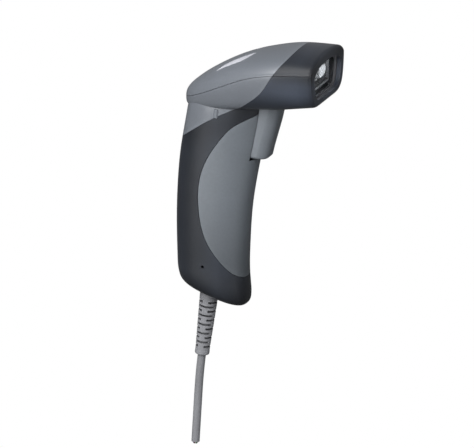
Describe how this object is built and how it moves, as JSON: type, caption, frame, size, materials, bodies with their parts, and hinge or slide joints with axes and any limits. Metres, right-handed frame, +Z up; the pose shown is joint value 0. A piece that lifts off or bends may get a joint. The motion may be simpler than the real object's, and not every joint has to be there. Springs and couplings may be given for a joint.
{
  "type": "handheld barcode scanner",
  "caption": "Corded pistol-grip barcode scanner with a scan head, front window, trigger, two-tone handle and a plugged-in cable with slotted strain relief.",
  "frame": {"origin": "centre of the flat front rim of the nose, around the scan window", "axes": "+X out of the scan window along the beam, +Y to the left of the beam, +Z up; the handle hangs down along -Z"},
  "size_m": [0.093, 0.0594, 0.2506],
  "materials": {
    "grey_shell": "satin moulded ABS, fine texture",
    "grey_grip": "satin moulded ABS, fine texture",
    "grey_trigger": "satin moulded ABS",
    "charcoal_soft": "matt soft-touch plastic",
    "black_plastic": "matt moulded plastic",
    "black_foam": "matt rubber foam",
    "clear_window": "clear flat pane",
    "light_pipe": "milky translucent light pipe",
    "circuit_board": "green solder mask",
    "white_component": "off-white component plastic",
    "black_component": "black component body",
    "wire_insulation": "coloured wire insulation",
    "steel": "zinc plated steel",
    "spring_steel": "drawn spring wire",
    "cast_zinc": "die-cast zinc, bead blasted",
    "mirror_glass": "front-surface mirror",
    "magnet_metal": "nickel plated magnet",
    "copper_winding": "enamelled copper winding",
    "brass": "turned brass barrel",
    "optic_glass": "polished lens",
    "red_filter": "deep red filter",
    "flex_film": "amber polyimide film",
    "gold_contact": "gold plated contact",
    "clear_plug": "clear moulded plug",
    "cable_grey": "matt grey PVC",
    "shield_braid": "tinned braid"
  },
  "bodies": {
    "case": {"top_cover": "grey_shell", "nose_cap": "charcoal_soft", "neck_cover": "grey_shell", "main_housing": "charcoal_soft", "grip_cover": "grey_grip", "window_bezel": "black_plastic", "window_gasket": "black_foam", "window_pane": "clear_window", "indicator_lens": "light_pipe", "indicator_board": "circuit_board", "indicator_leds": "white_component", "indicator_wires": "wire_insulation", "trigger_pivot_pin": "steel", "trigger_spring": "spring_steel", "trigger_bracket": "black_plastic", "switch_board": "circuit_board", "switch_body": "black_component", "switch_wires": "wire_insulation", "engine_chassis": "cast_zinc", "engine_board": "circuit_board", "engine_board_chips": "black_component", "mirror_axle": "steel", "drive_coil": "copper_winding", "laser_module": "brass", "laser_lens": "optic_glass", "photodiode": "black_component", "photodiode_filter": "red_filter", "engine_grommets": "black_foam", "engine_screws": "steel", "engine_flex": "flex_film", "main_board": "circuit_board", "decoder_chip": "black_component", "memory_chip": "black_component", "board_parts": "white_component", "flex_connector": "white_component", "beeper": "black_component", "board_screws": "steel", "case_screws": "steel", "cable_socket": "black_component", "socket_contacts": "gold_contact"},
    "trigger": {"trigger": "grey_trigger"},
    "switch_plunger": {"switch_plunger": "white_component"},
    "mirror": {"scan_mirror": "mirror_glass", "mirror_carrier": "black_plastic", "mirror_magnet": "magnet_metal"},
    "cable": {"cable_plug": "clear_plug", "plug_contacts": "gold_contact", "strain_relief": "cable_grey", "cable_jacket": "cable_grey", "cable_shield": "shield_braid", "cable_conductors": "wire_insulation"},
    "latch": {"plug_latch": "clear_plug"}
  },
  "joints": [
    {"name": "trigger_pull", "type": "hinge", "parent": "case", "child": "trigger", "pos_m": [-0.0365, 0, -0.013], "axis": [0, 1, 0], "range_deg": [0, 4.5], "deforming": ["trigger_spring"]},
    {"name": "switch_press", "type": "slide", "parent": "case", "child": "switch_plunger", "axis": [-1, 0, 0], "range_m": [0, 0.00102]},
    {"name": "mirror_scan", "type": "hinge", "parent": "case", "child": "mirror", "pos_m": [-0.0142, 0.015, 0], "axis": [0, 0, 1], "range_deg": [-13, 13]},
    {"name": "cable_unplug", "type": "slide", "parent": "case", "child": "cable", "axis": [-0.1219, 0, -0.9925], "range_m": [0, 0.034]},
    {"name": "latch_press", "type": "hinge", "parent": "cable", "child": "latch", "pos_m": [-0.07046, -0.0038, -0.1116], "axis": [0.9925, 0, -0.1219], "range_deg": [0, 5]}
  ],
  "couplings": [
    {"joint": "switch_press", "follows": "trigger_pull", "m_per_rad": 0.0125}
  ]
}
